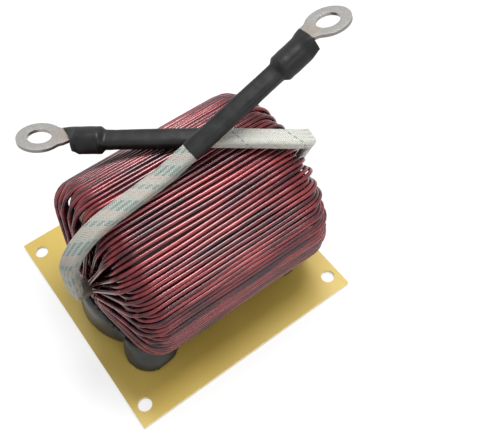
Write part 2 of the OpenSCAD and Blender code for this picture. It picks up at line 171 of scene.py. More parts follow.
@dataclass
class Route:
    """A line through corner points with a round bend at each of them.

    Attributes:
        corners: Corner points.
        bends: Bend radius at each of them. The ends' values are unused.
    """

    corners: list[Vector]
    bends: list[float]

    def __add__(self, other: "Route") -> "Route":
        """Return this route with another one after it."""
        return Route(self.corners + other.corners, self.bends + other.bends)

    def back(self) -> "Route":
        """Return the route from its end to its start."""
        return Route(self.corners[::-1], self.bends[::-1])

    def legs(self) -> list[Vector]:
        """Return the direction of each straight leg."""
        return [(b - a).normalized() for a, b in zip(self.corners, self.corners[1:])]

    def wides(self, first: Vector) -> list[Vector]:
        """Carry a flat lead's wide axis from leg to leg without twist.

        Args:
            first: Wide axis on the first leg.

        Returns:
            One wide axis per leg.
        """
        legs, result = self.legs(), [first]
        for before, after in zip(legs, legs[1:]):
            axis = before.cross(after).normalized()
            turn = Matrix.Rotation(before.angle(after), 3, axis)
            result.append(turn @ result[-1])
        return result

    def stations(self, first_wide: Vector, arc: float, step: float) -> list[Station]:
        """Sample the route densely enough to sweep a section along it.

        Args:
            first_wide: Wide axis on the first leg.
            arc: Largest turn between two stations, in degrees.
            step: Largest distance between stations on a straight.

        Returns:
            Stations in order, with their running distance filled in.
        """
        legs, wides = self.legs(), self.wides(first_wide)
        marks = [Station(self.corners[0], wides[0], legs[0].cross(wides[0]))]
        for i, radius in enumerate(self.bends[1:-1]):
            for turn, point in walk_bend(self.corners[i + 1], legs[i], legs[i + 1], radius, arc):
                wide = turn @ wides[i]
                marks.append(Station(point, wide, (turn @ legs[i]).cross(wide)))
        marks.append(Station(self.corners[-1], wides[-1], legs[-1].cross(wides[-1])))
        dense = [marks[0]]
        for mark in marks[1:]:
            last = dense[-1]
            gap = mark.point - last.point
            for j in range(1, int(gap.length // step) + 1):
                share = j * step / gap.length
                if share < GAP_FULL:
                    dense.append(Station(last.point + gap * share, last.wide, last.thin))
            dense.append(mark)
        for a, b in zip(dense, dense[1:]):
            b.run = a.run + (b.point - a.point).length
        return dense

    def points(self, arc: float, step: float) -> list[Vector]:
        """Sample the route as the centre line of a round wire.

        Args:
            arc: Largest turn between two points, in degrees.
            step: Distance between the points on the way to a bend.

        Returns:
            Points in order.
        """
        legs, result = self.legs(), [self.corners[0]]
        for i, radius in enumerate(self.bends[1:-1]):
            for _, point in walk_bend(self.corners[i + 1], legs[i], legs[i + 1], radius, arc):
                gap = point - result[-1]
                for k in range(1, int(gap.length // step) + 1):
                    if k * step < gap.length * GAP_FULL:
                        result.append(result[-1] + gap.normalized() * step)
                result.append(point)
        result.append(self.corners[-1])
        return result

    def cut(self, length: float) -> "Route":
        """Shorten the route's last leg.

        Args:
            length: How much to cut off.

        Returns:
            The shorter route.
        """
        corners = [c.copy() for c in self.corners]
        corners[-1] -= self.legs()[-1] * length
        return Route(corners, list(self.bends))


# ---------------------------------------------------------------------------- mesh helpers


def new_object(name: str, data: bpy.types.ID) -> bpy.types.Object:
    """Link a new object at the origin and let it ride on the root body.

    Args:
        name: Piece name.
        data: Mesh or curve data.

    Returns:
        The object.
    """
    obj = bpy.data.objects.new(name, data)
    bpy.context.scene.collection.objects.link(obj)
    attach(obj, "root")
    return obj


def loft(bm: bmesh.types.BMesh, rings: list[list[Vector]]) -> list[list[bmesh.types.BMVert]]:
    """Skin a row of closed rings of equal size with quads.

    Args:
        bm: Mesh to add to.
        rings: Points in metres, ring by ring.

    Returns:
        The rings as lists of vertices.
    """
    rows = [[bm.verts.new(p) for p in ring] for ring in rings]
    for a, b in zip(rows, rows[1:]):
        for i in range(len(a)):
            j = (i + 1) % len(a)
            bm.faces.new((a[i], a[j], b[j], b[i]))
    return rows


def cap(bm: bmesh.types.BMesh, rows: list[list[bmesh.types.BMVert]]) -> None:
    """Close both ends of a loft with a face."""
    bm.faces.new(rows[0])
    bm.faces.new(rows[-1][::-1])


def mesh_from(bm: bmesh.types.BMesh, name: str, smooth: bool = True) -> bpy.types.Mesh:
    """Turn a bmesh into mesh data with outward normals.

    Args:
        bm: Source, freed afterwards.
        name: Mesh name.
        smooth: Whether faces shade smoothly.

    Returns:
        The mesh.
    """
    bmesh.ops.recalc_face_normals(bm, faces=bm.faces)
    for face in bm.faces:
        face.smooth = smooth
    mesh = bpy.data.meshes.new(name)
    bm.to_mesh(mesh)
    bm.free()
    return mesh


def bevel(obj: bpy.types.Object, width: float, segments: int, angle: float) -> None:
    """Round the sharp edges of an object.

    Args:
        obj: Object to change.
        width: Bevel width in millimetres.
        segments: Bevel segments.
        angle: Smallest edge angle that counts as sharp, in degrees.
    """
    mod = obj.modifiers.new("edge_round", "BEVEL")
    mod.width = width * MM
    mod.segments = segments
    mod.limit_method = "ANGLE"
    mod.angle_limit = math.radians(angle)


# ---------------------------------------------------------------------------- finishes


class Nodes:
    """Small wrapper that builds the node tree of a material or a world in few words."""

    def __init__(self, owner: bpy.types.ID, main: str) -> None:
        """Take over the node tree of a new material or world.

        Args:
            owner: Material or world.
            main: Name of the shader node that it starts with.
        """
        owner.use_nodes = True
        self.owner, self.tree = owner, owner.node_tree
        self.shader = self.tree.nodes[main]
        self.coords = self.add("ShaderNodeTexCoord")

    @classmethod
    def material(cls, name: str) -> "Nodes":
        """Start the tree of a new material."""
        return cls(bpy.data.materials.new(name), "Principled BSDF")

    def add(self, kind: str, **values: Value | str) -> bpy.types.Node:
        """Add a node.

        Args:
            kind: Blender's name of the node type.
            values: Its inputs or properties by name.

        Returns:
            The node.
        """
        node = self.tree.nodes.new(kind)
        for key, value in values.items():
            label = key.replace("_", " ").lower()
            slot = next((s for s in node.inputs if s.name.lower() == label), None)
            if slot is not None and not hasattr(node, key):
                self.feed(slot, value)
            else:
                setattr(node, key, value)
        return node

    def feed(self, slot: Socket, value: Value) -> None:
        """Give an input a value.

        Args:
            slot: Input.
            value: Socket to link, or a plain value.
        """
        if isinstance(value, Socket):
            self.tree.links.new(value, slot)
        else:
            slot.default_value = value

    def feed_all(self, node: bpy.types.Node, *values: Value) -> Socket:
        """Give a node's first inputs their values.

        Args:
            node: Node.
            values: One value per input, in order.

        Returns:
            The node's first output.
        """
        for slot, value in zip(node.inputs, values):
            self.feed(slot, value)
        return node.outputs[0]

    def set(self, **values: Value) -> None:
        """Set inputs of the main shader by name."""
        for key, value in values.items():
            self.feed(self.shader.inputs[key.replace("_", " ")], value)

    def noise(self, scale: float, detail: float, stretch: Triple = (1, 1, 1),
              source: Socket | None = None) -> Socket:
        """Add noise with features of 1/scale metres.

        Args:
            scale: Noise scale.
            detail: Octaves.
            stretch: Scale of the coordinates along each axis.
            source: Coordinates, or None for the object's.

        Returns:
            Noise value.
        """
        where = self.add("ShaderNodeMapping", Scale=Vector(stretch))
        self.feed(where.inputs["Vector"], source or self.coords.outputs["Object"])
        node = self.add("ShaderNodeTexNoise", Scale=scale, Detail=detail)
        self.feed(node.inputs["Vector"], where.outputs[0])
        return node.outputs["Fac"]

    def ramp(self, value: Value, *stops: tuple[float, Colour]) -> Socket:
        """Add a colour ramp.

        Args:
            value: Value to look up.
            stops: Places and colours, in order.

        Returns:
            Colour.
        """
        node = self.add("ShaderNodeValToRGB")
        ends = node.color_ramp.elements
        while len(ends) < len(stops):
            ends.new(0.5)
        for element, (place, colour) in zip(ends, stops):
            element.position, element.color = place, (*colour, 1)
        return self.feed_all(node, value)

    def mix(self, share: Value, a: Value, b: Value) -> Socket:
        """Mix two colours.

        Args:
            share: Share of the second one.
            a: First colour.
            b: Second colour.

        Returns:
            Colour.
        """
        node = self.add("ShaderNodeMix", data_type="RGBA")
        self.feed(node.inputs[0], share)
        for index, value in ((6, a), (7, b)):
            self.feed(node.inputs[index], (*value, 1) if isinstance(value, tuple) else value)
        return node.outputs[2]

    def calc(self, operation: str, *values: Value) -> Socket:
        """Add a math node on one to three values."""
        return self.feed_all(self.add("ShaderNodeMath", operation=operation), *values)

    def times(self, a: Value, b: Value) -> Socket:
        """Multiply two values."""
        return self.calc("MULTIPLY", a, b)

    def line(self, value: Value, slope: float, start: Value) -> Socket:
        """Multiply a value by a slope and add a start."""
        return self.calc("MULTIPLY_ADD", value, slope, start)

    def bump(self, height: Value, depth: float, strength: float,
             normal: Socket | None = None) -> Socket:
        """Add a bump.

        Args:
            height: Height, from 0 to 1.
            depth: Depth in metres.
            strength: Strength, from 0 to 1.
            normal: Normal of another bump that this one adds to.

        Returns:
            Normal.
        """
        node = self.add("ShaderNodeBump", Strength=strength, Distance=depth, Height=height)
        if normal is not None:
            self.feed(node.inputs["Normal"], normal)
        return node.outputs[0]

    def part(self, vector: Socket, name: str) -> Socket:
        """Take one coordinate, X, Y or Z, of a vector."""
        node = self.add("ShaderNodeSeparateXYZ", Vector=vector)
        return node.outputs[name]

    def near(self, centre: Vector, inner: float, outer: float) -> Socket:
        """Mark the surroundings of a point.

        Args:
            centre: Point.
            inner: Distance up to which the share is 1.
            outer: Distance at which it has faded to 0.

        Returns:
            Share.
        """
        node = self.add("ShaderNodeVectorMath", operation="DISTANCE")
        self.feed_all(node, self.coords.outputs["Object"], centre * MM)
        fade = self.add("ShaderNodeMapRange", clamp=True)
        return self.feed_all(fade, node.outputs["Value"], inner * MM, outer * MM, 1.0, 0.0)

    def watched(self) -> Socket:
        """Mark what the camera sees directly, in a reflection or through glass.

        Returns:
            Share that is 1 there, and 0 where the surface only lights others.
        """
        path = self.add("ShaderNodeLightPath")
        rays = [path.outputs[f"Is {kind} Ray"] for kind in ("Camera", "Transmission", "Glossy")]
        return self.calc("MAXIMUM", self.calc("MAXIMUM", *rays[:2]), rays[2])


@dataclass(frozen=True)
class Enamel:
    """Dark red wire enamel over copper, with a clear glossy top coat."""

    base: Colour = (0.102, 0.011, 0.016)
    deep: Colour = (0.030, 0.006, 0.010)
    light: Colour = (0.215, 0.029, 0.034)
    roughness: float = 0.15

    def build(self) -> bpy.types.Material:
        """Make streaks along the drum's axis over large soft clouds.

        Returns:
            The material.
        """
        n = Nodes.material("wire_enamel")
        cloud = n.noise(scale=90, detail=3)
        fine = n.noise(scale=900, detail=4, stretch=(0.25, 1, 1))
        streak = n.noise(scale=330, detail=2, stretch=(0.12, 1, 1))
        tone = n.line(cloud, 0.2, n.times(streak, 0.8))
        n.set(Base_Color=n.ramp(tone, (0.37, self.deep), (0.49, self.base), (0.64, self.light)),
              Metallic=0.42, Roughness=n.line(fine, 0.22, self.roughness),
              Specular_IOR_Level=0.3, Coat_Weight=0.55, Coat_Roughness=0.08, Coat_IOR=1.45,
              Normal=n.bump(fine, depth=0.00003, strength=0.35))
        return n.owner


@dataclass(frozen=True)
class GlassYarn:
    """Off-white glass yarn with fine filaments, coloured tracer yarns and a varnished foot."""

    name: str
    tone: float
    soak_at: Vector
    soak_reach: float = 12.0
    base: Colour = (0.72, 0.71, 0.65)
    # Painted shade: the off-white as it looks in shadow, laid into the grooves between filaments.
    shade: Colour = (0.46, 0.46, 0.42)
    grime: Colour = (0.52, 0.48, 0.38)
    teal: Colour = (0.08, 0.19, 0.18)
    rose: Colour = (0.46, 0.27, 0.24)
    varnish: Colour = (0.10, 0.055, 0.03)
    tracer_share: float = 0.95
    roughness: float = 0.62

    def toned(self, colour: Colour) -> Colour:
        """Darken a colour by this sleeve's tone."""
        return tuple(self.tone * value for value in colour)

    def build(self) -> bpy.types.Material:
        """Make the yarn, whose tracer attribute is 1 on teal yarns and 0.5 on rose ones.

        Returns:
            The material.
        """
        n = Nodes.material(self.name)
        fibres = n.noise(scale=60, detail=2, stretch=(1, 0.02, 1), source=n.coords.outputs["UV"])
        dirt = n.noise(scale=120, detail=5)
        # Painted shade: where the fibre noise is low, in the grooves of the bump, the yarn takes
        # the shaded colour.
        groove_shade = n.times(n.calc("SUBTRACT", 0.62, fibres), 1.1)
        colour = n.mix(groove_shade, self.toned(self.base), self.toned(self.shade))
        colour = n.mix(n.times(dirt, 0.25), colour, self.grime)
        mark = n.add("ShaderNodeAttribute", attribute_name="tracer").outputs["Fac"]
        hue = n.mix(n.calc("GREATER_THAN", mark, 0.75), self.rose, self.teal)
        broken = n.line(n.noise(scale=420, detail=2), 0.9, 0.3)
        colour = n.mix(n.times(n.times(mark, broken), self.tracer_share), colour, hue)
        wet = n.near(self.soak_at, self.soak_reach * 0.45, self.soak_reach)
        wet = n.times(wet, n.line(dirt, 0.8, 0.5))
        n.set(Base_Color=n.mix(wet, colour, self.varnish),
              Roughness=n.line(wet, -0.35, self.roughness), Sheen_Weight=0.15,
              Normal=n.bump(fibres, depth=0.00004, strength=0.6),
              Subsurface_Weight=0.08, Subsurface_Scale=0.0006)
        return n.owner


@dataclass(frozen=True)
class ShrinkTube:
    """Satin black polyolefin tube with faint grain, dust and rubbed highlights."""

    base: Colour = (0.0045, 0.0047, 0.0048)
    haze: Colour = (0.014, 0.0145, 0.0145)
    roughness: float = 0.32

    def build(self) -> bpy.types.Material:
        """Make fine grain over soft dents.

        Returns:
            The material.
        """
        n = Nodes.material("shrink_tube")
        dust = n.noise(scale=260, detail=6)
        dents = n.bump(n.noise(scale=170, detail=3), depth=0.0003, strength=0.35)
        n.set(Base_Color=n.ramp(dust, (0.35, self.base), (0.8, self.haze)),
              Roughness=n.line(dust, 0.25, self.roughness), Specular_IOR_Level=0.28,
              Normal=n.bump(n.noise(scale=2600, detail=3), depth=0.00003, strength=0.4,
                            normal=dents))
        return n.owner


@dataclass(frozen=True)
class TinPlate:
    """Tin over copper: greyish, with fine scratches and a brown heat tint by the neck."""

    name: str
    neck: Vector
    base: Colour = (0.39, 0.38, 0.365)
    cloud: Colour = (0.42, 0.41, 0.39)
    spots: Colour = (0.24, 0.235, 0.225)
    tint: Colour = (0.36, 0.27, 0.20)

    def build(self) -> bpy.types.Material:
        """Make blotches, dark specks and scratches that cross.

        Returns:
            The material.
        """
        n = Nodes.material(self.name)
        blotch = n.noise(scale=240, detail=6)
        scratch = n.times(n.noise(scale=700, detail=6, stretch=(1, 0.06, 1)),
                          n.noise(scale=900, detail=6, stretch=(0.08, 1, 1)))
        speck = n.ramp(n.noise(scale=1500, detail=3), (0.42, (0, 0, 0)), (0.62, (1, 1, 1)))
        heat = n.times(n.near(self.neck, 1.0, 8.0), n.line(blotch, 1.6, -0.35))
        colour = n.mix(n.times(blotch, 0.5), self.base, self.cloud)
        colour = n.mix(n.times(speck, 0.45), colour, self.spots)
        n.set(Base_Color=n.mix(heat, colour, self.tint), Metallic=0.85,
              Roughness=n.line(scratch, 0.5, 0.26),
              Normal=n.bump(scratch, depth=0.00006, strength=0.55,
                            normal=n.bump(blotch, depth=0.0001, strength=0.25)))
        return n.owner


@dataclass(frozen=True)
class GlassEpoxy:
    """Yellow glass-epoxy laminate: faint weave under a satin resin skin, paler cut edges.

    The fields weft and warp are the weave's periods, in metres.
    """

    base: Colour = (0.590, 0.430, 0.088)
    deep: Colour = (0.520, 0.366, 0.062)
    pale: Colour = (0.70, 0.59, 0.26)
    cut: Colour = (0.80, 0.72, 0.48)
    weft: float = 0.0009
    warp: float = 0.0011

    def build(self) -> bpy.types.Material:
        """Make the weave, pale flecks in the resin and the board's cut edges.

        Returns:
            The material.
        """
        n = Nodes.material("glass_epoxy")
        waves = [n.calc("SINE", n.times(n.part(n.coords.outputs["Object"], axis),
                                        2 * math.pi / period))
                 for axis, period in (("X", self.weft), ("Y", self.warp))]
        weave = n.times(*waves)
        fine = n.noise(scale=420, detail=5)
        flecks = n.times(n.calc("GREATER_THAN", fine, 0.72), 0.2)
        facing = n.add("ShaderNodeNewGeometry").outputs["True Normal"]
        edge = n.calc("LESS_THAN", n.calc("ABSOLUTE", n.part(facing, "Z")), 0.9)
        colour = n.ramp(n.noise(scale=26, detail=5), (0.3, self.deep), (0.7, self.base))
        colour = n.mix(n.line(weave, 0.05, 0.06), colour, self.pale)
        colour = n.mix(flecks, colour, self.pale)
        n.set(Base_Color=n.mix(n.times(edge, 0.75), colour, self.cut),
              Roughness=n.line(fine, 0.2, 0.32), Subsurface_Weight=0.12,
              Subsurface_Scale=0.0015, Coat_Weight=0.1, Coat_Roughness=0.3,
              Normal=n.bump(weave, depth=0.00001, strength=0.4))
        return n.owner


@dataclass(frozen=True)
class BlackAdhesive:
    """Cured black adhesive: glossy skin with faint dust and shallow waves."""

    base: Colour = (0.011, 0.011, 0.010)
    dusty: Colour = (0.045, 0.045, 0.040)

    def build(self) -> bpy.types.Material:
        """Make a dusty skin with shallow waves.

        Returns:
            The material.
        """
        n = Nodes.material("black_adhesive")
        dust = n.noise(scale=160, detail=6)
        n.set(Base_Color=n.ramp(dust, (0.4, self.base), (0.85, self.dusty)),
              Roughness=n.line(dust, 0.35, 0.25), Coat_Weight=0.15, Coat_Roughness=0.15,
              Normal=n.bump(n.noise(scale=95, detail=4), depth=0.0006, strength=0.3))
        return n.owner


@dataclass(frozen=True)
class PlainCoat:
    """Matte coat with slight mottling, for the cores and their wrap."""

    name: str
    base: Colour
    other: Colour
    roughness: float

    def build(self) -> bpy.types.Material:
        """Make grain over broad bands.

        Returns:
            The material.
        """
        n = Nodes.material(self.name)
        grain = n.noise(scale=500, detail=5)
        bands = n.noise(scale=60, detail=2, stretch=(6, 1, 1))
        n.set(Base_Color=n.mix(n.times(grain, bands), self.base, self.other),
              Roughness=n.line(grain, 0.2, self.roughness),
              Normal=n.bump(grain, depth=0.00008, strength=0.5))
        return n.owner


# ---------------------------------------------------------------------------- winding and leads


@dataclass
class Section:
    """Flat-oval lead section, given by half width, half thickness and corner radius."""

    half_w: float
    half_t: float
    corner: float

    def girth(self) -> float:
        """Length once round the section."""
        flat = 4 * (self.half_w - self.corner) + 4 * (self.half_t - self.corner)
        return flat + 2 * math.pi * self.corner

    def at(self, share: float) -> tuple[Vector, Vector]:
        """Point and outward normal at a share of the way round.

        Args:
            share: Share of the girth, from the lower end of the flat that faces across the lead.

        Returns:
            Point and normal, across and through the lead.
        """
        along = (share % 1.0) * self.girth()
        arc = math.pi / 2 * self.corner
        x, y = self.half_w - self.corner, self.half_t - self.corner
        sides = [(2 * y, Vector((1, 0)), Vector((0, 1)), Vector((x, -y))),
                 (2 * x, Vector((0, 1)), Vector((-1, 0)), Vector((x, y))),
                 (2 * y, Vector((-1, 0)), Vector((0, -1)), Vector((-x, y))),
                 (2 * x, Vector((0, -1)), Vector((1, 0)), Vector((-x, -y)))]
        for length, normal, way, start in sides:
            if along <= length:
                return start + normal * self.corner + way * along, normal
            along -= length
            if along <= arc:
                a = along / self.corner
                turned = normal * math.cos(a) + way * math.sin(a)
                return start + way * length + turned * self.corner, turned
            along -= arc
        return self.at(0.0)


@dataclass
class Lead:
    """One lead: the way its sleeve lies, the sleeve's section and the frame of its lug.

    Attributes:
        side: End of the winding that it leaves.
        name: What the names of its pieces start with.
        route: Centre line in the part's source, from the winding to the lug.
        laid: Centre line on which the woven sleeve is shown, with the same ends.
        wide: Wide axis of the sleeve at the winding.
        up: Way the lug's flat side faces.
        shrink_run: Length of the shrunk tube behind the lug's barrel.
        mouth_x: Place of the tube's mouth along the barrel.
        slant: How far the mouth runs on at one side.
        scoop: How far the mouth is cut back in its middle.
        lift: Height of the ring over the barrel's axis.
        bend: Downward bend of the ring, in degrees.
        yaw: Sideways turn of the ring, in degrees.
        tone: Brightness of the glass yarn.
        tracers: Tracer mark by yarn number, negative for the yarns of the other hand.
        barrel_l: Length of the lug's barrel.
        sleeve_end: Distance from the lug's root back to the sleeve's hidden end.
        barrel_r: Outside radius of the barrel.
        barrel_front: Distance from the lug's root back to the barrel's round front.
        plain: Section of the sleeve on its free length.
        pressed: What is added to it where the sleeve folds over the end of the winding.
        pressed_at: Run at which the sleeve is pressed most.
        pressed_reach: How far to both sides that is felt.
    """

    side: Side
    name: str
    route: Route
    laid: Route
    wide: Vector
    up: Vector
    shrink_run: float
    mouth_x: float
    slant: float
    scoop: float
    lift: float
    bend: float
    yaw: float
    tone: float
    tracers: dict[int, float]
    barrel_l: float
    sleeve_end: float
    barrel_r: float = 4.2
    barrel_front: float = 4.0
    plain: Triple = (3.13, 2.23, 1.33)
    pressed: Triple = (0.42, -0.30, 0.1)
    pressed_at: float = 9.0
    pressed_reach: float = 13.0

    def lug_frame(self) -> Matrix:
        """Find the frame of the lug.

        Returns:
            Frame with X along the barrel and Z out of the lug's flat side, in millimetres.
        """
        u = self.route.legs()[-1]
        y = self.up.cross(u).normalized()
        z = u.cross(y)
        basis = Matrix((u, y, z)).transposed().to_4x4()
        return Matrix.Translation(self.route.corners[-1]) @ basis

    def roll(self) -> float:
        """Find how far the sleeve's wide axis is turned from the lug's Y axis.

        Returns:
            Angle in radians, within a quarter turn.
        """
        wide = self.route.wides(self.wide)[-1]
        basis = self.lug_frame().to_3x3()
        angle = math.atan2(wide.dot(basis.col[2]), wide.dot(basis.col[1]))
        return (angle + math.pi / 2) % math.pi - math.pi / 2

    def section(self, run: float) -> Section:
        """Section of the sleeve at a distance from its foot."""
        flat = bump_at(run, self.pressed_at, self.pressed_reach)
        return Section(*(size + more * flat for size, more in zip(self.plain, self.pressed)))


@dataclass
class Winding:
    """Six enamelled wires wound side by side over the cores, as the part's source lays them.

    Attributes:
        centre: Middle of the core stack.
        wrap_r: Outside radius of the wrapped cores.
        bore_r: Radius of their bore.
        turns: Turns of each wire.
        wire_r: Radius of a wire over its enamel.
        wire_step: Angle from one wire to the next, in degrees.
        levels: Level of each wire, which sets where it crosses the end faces.
        fit: Clear space between the wires and the wrap.
        bore_gap: Clear space in the bore.
        straight_half: Straight from the middle to the bend on the lowest level.
        straight_more: What each level adds to it.
        edge_bend: Radius of the bend over the core edge on the lowest level.
        bend_more: What each level adds to it.
        lean: What each level adds to the slant of the end faces' runs, in degrees.
        ring_step: Distance in the bore from one level's ring to the next.
        mouth_bend: Radius of the bend at the bore's mouth.
        lead_pitch: Spacing of the wires in a lead.
        column_z: Height of the column in which the wires cross the bore.
        column_half: Half of its zigzag.
        column_pitch: Spacing of the wires in it.
        column_shift: Its sideways place.
        column_slide: How far the wires slide inward to reach it.
        gather_az: Share of the wires' azimuth by which their rings turn.
        gather_tilt: Tilt of the column, in degrees.
        finish_tilt: Tilt of the finish lead's foot, in degrees.
        gather_bends: Bend radii on the way from the rings to the lead.
        stations: Places of those bends along the axis, from the middle to the lead's mouth.
        shown_r: Radius of the shown wires, which leaves dark lines between them.
        tip: How far a wire goes on into its sleeve.
        arc: Largest turn from point to point, in degrees.
        pace: Distance from point to point.
        drift: How far neighbours stray together round the drum, in degrees.
        wander: How far each wire strays by itself, in degrees.
        huddle: How far the wires of a turn close up, in degrees a wire.
        lift: How far a wire rises from the drum and sinks.
        close_over: Length along the axis and waves a radian of the first drift.
        broad_over: The same of the second drift.
        own_over: Length over which a wire's own wander changes.
        raised_over: Length over which its lift changes.
    """

    centre: Vector
    wrap_r: float
    bore_r: float = 17.1
    turns: int = 17
    wire_r: float = 0.88
    wire_step: float = 2.92
    levels: tuple[int, ...] = (0, 2, 4, 1, 3, 5)
    fit: float = 0.02
    bore_gap: float = 0.12
    straight_half: float = 30.8
    straight_more: float = 0.2
    edge_bend: float = 6.4
    bend_more: float = 0.55
    lean: float = 2.4
    ring_step: float = 1.98
    mouth_bend: float = 3.4
    lead_pitch: float = 1.8
    column_z: float = 1.7
    column_half: float = 0.8
    column_pitch: float = 1.1
    column_shift: float = -0.85
    column_slide: float = 5.8
    gather_az: float = 0.4
    gather_tilt: float = 6.0
    finish_tilt: float = 25.0
    gather_bends: tuple[float, ...] = (8.5, 8.5, 8.5, 5.0, 5.0, 5.0)
    stations: tuple[float, ...] = (31.5, 10, -2, -30, -37, -42)
    shown_r: float = 0.80
    tip: float = 9.0
    arc: float = 14.0
    pace: float = 6.0
    drift: float = 0.7
    wander: float = 0.16
    huddle: float = 0.05
    lift: float = 0.32
    close_over: tuple[float, float] = (27, 9)
    broad_over: tuple[float, float] = (40, 3)
    own_over: float = 34.0
    raised_over: float = 24.0

    def __post_init__(self) -> None:
        """Work out the winding's radii and angles."""
        self.outer_r = self.wrap_r + self.wire_r + self.fit
        self.ring_r = self.bore_r - self.wire_r - self.bore_gap
        self.turn_step = WIRES * self.wire_step
        self.first_az = 180 - (self.turns * WIRES - 1) * self.wire_step / 2

    def ring(self, level: int) -> float:
        """Radius at which a level's wires pass through the bore."""
        return self.ring_r - level * self.ring_step

    def turn(self, level: int, azimuth: float) -> Route:
        """Lay one turn of a wire.

        Args:
            level: Level of the wire.
            azimuth: Azimuth of the turn.

        Returns:
            Route up one end face, over the outside and down the other end face.
        """
        bend = self.edge_bend + level * self.bend_more
        slope = math.radians(level * self.lean)
        edge = (self.straight_half + level * self.straight_more
                + bend * math.tan((math.pi / 2 - slope) / 2))
        mouth = edge + (self.outer_r - self.ring(level)) * math.tan(slope)
        places = ((mouth, self.ring(level)), (edge, self.outer_r),
                  (-edge, self.outer_r), (-mouth, self.ring(level)))
        return Route([on_drum(x, radius, azimuth) for x, radius in places],
                     [self.mouth_bend, bend, bend, self.mouth_bend])

    def place(self, level: int) -> tuple[float, float]:
        """Place of a wire in the flat lead: across it and through it."""
        row = WIRES - 1 - level
        return (row // 2 - 1) * self.lead_pitch, (-0.5 if row % 2 else 0.5) * self.lead_pitch

    def gather(self, level: int, azimuth: float, side: Side) -> Route:
        """Lead one wire from its ring in the bore to its place in the lead.

        Args:
            level: Level of the wire.
            azimuth: Azimuth of its first or last turn, counted from the winding's end.
            side: Which end of the winding it belongs to.

        Returns:
            Route along the bore.
        """
        row, s, ring = WIRES - 1 - level, side.value, self.ring(level)
        turn = math.radians(self.gather_az * azimuth)
        middle = (row - (WIRES - 1) / 2) * self.column_pitch
        column = (self.column_shift + middle,
                  self.column_z + (self.column_half if row % 2 else -self.column_half))
        across, through = self.place(level)
        places = ((ring * math.cos(turn), ring * math.sin(turn)),
                  (ring - self.column_slide, column[1]), column, column,
                  (middle, -through), (across, -through))
        last_tilt = self.gather_tilt if side is Side.START else self.finish_tilt
        tilts = [self.gather_tilt] * (len(places) - 1) + [last_tilt]
        return Route([spin_x(Vector((s * x, y, s * z)), tilt)
                      for x, (y, z), tilt in zip(self.stations, places, tilts)],
                     list(self.gather_bends))

    def lead_end(self, level: int, lead: Lead) -> Route:
        """Lead one wire from the winding's mouth into the foot of its sleeve.

        Args:
            level: Level of the wire.
            lead: Lead that it belongs to.

        Returns:
            Route round the sleeve's first corner.
        """
        across, through = self.place(level)
        out, up = lead.laid.legs()[:2]
        axis = out.cross(up).normalized()
        offset = lead.wide * across + out.cross(lead.wide) * through
        inward = offset.dot(axis.cross(out))
        corner = (lead.laid.corners[1] - self.centre + axis * offset.dot(axis)
                  + (up - out).normalized() * inward / math.cos(out.angle(up) / 2))
        return Route([corner, corner + up * self.tip], [lead.laid.bends[1] - inward, 0])

    def path(self, number: int, leads: dict[Side, Lead]) -> list[Vector]:
        """Lay one whole wire.

        Args:
            number: Wire number, from 0.
            leads: Lead at each end.

        Returns:
            Centre line from the foot of the start sleeve to that of the finish sleeve, in metres.
        """
        level = self.levels[number]
        first = self.first_az + number * self.wire_step
        last = first + (self.turns - 1) * self.turn_step
        route = (self.gather(level, first, Side.START)
                 + self.lead_end(level, leads[Side.START])).back()
        for turn in range(self.turns):
            route += self.turn(level, first + turn * self.turn_step)
        route += self.gather(level, 360 - last, Side.FINISH)
        route += self.lead_end(level, leads[Side.FINISH])
        line = self.loosen(route.points(self.arc, self.pace), number)
        return [(self.centre + point) * MM for point in line]

    def loosen(self, line: list[Vector], number: int) -> list[Vector]:
        """Let a wire wander a little from its even place, most on the drum's outside.

        Args:
            line: Even centre line.
            number: Wire number, from 0.

        Returns:
            Centre line as wound by hand. Wires that lie close together stray alike.
        """
        result, run = [], 0.0
        for i, point in enumerate(line):
            run += (point - line[i - 1]).length if i else 0.0
            around = math.atan2(point.z, point.y)
            share = min(1.0, (math.hypot(point.y, point.z) / self.outer_r) ** 2)
            # The last coordinate picks a slice of the noise, and a wire's number a place in it.
            (near, near_turns), (far, far_turns) = self.close_over, self.broad_over
            close = noise.noise(Vector((point.x / near, around * near_turns, 4.4)))
            broad = noise.noise(Vector((point.x / far, around * far_turns, 7.1)))
            own = noise.noise(Vector((run / self.own_over, number * 5.3, 1.7)))
            raised = noise.noise(Vector((run / self.raised_over, number * 3.1, 8.9)))
            sway = self.drift * close + self.drift * broad + self.wander * own
            turned = spin_x(point, share * (sway - (number - (WIRES - 1) / 2) * self.huddle))
            grow = 1 + share * self.lift * raised / self.outer_r
            result.append(Vector((turned.x, turned.y * grow, turned.z * grow)))
        return result

    def build(self, leads: dict[Side, Lead], material: bpy.types.Material) -> None:
        """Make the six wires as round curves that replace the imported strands.

        Args:
            leads: Lead at each end.
            material: Enamel.
        """
        for number in range(WIRES):
            curve = bpy.data.curves.new(f"wire_{number + 1}", "CURVE")
            curve.dimensions = "3D"
            curve.bevel_depth = self.shown_r * MM
            curve.bevel_resolution = 3
            curve.use_fill_caps = True
            curve.twist_mode = "MINIMUM"
            line = self.path(number, leads)
            spline = curve.splines.new("POLY")
            spline.points.add(len(line) - 1)
            for point, place in zip(spline.points, line):
                point.co = (*place, 1)
            spline.use_smooth = True
            curve.materials.append(material)
            obj = new_object(f"wire_{number + 1}", curve)
            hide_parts(f"strand_{number + 1}")
            LOG.info("wire %d: %d points", number + 1, len(line))


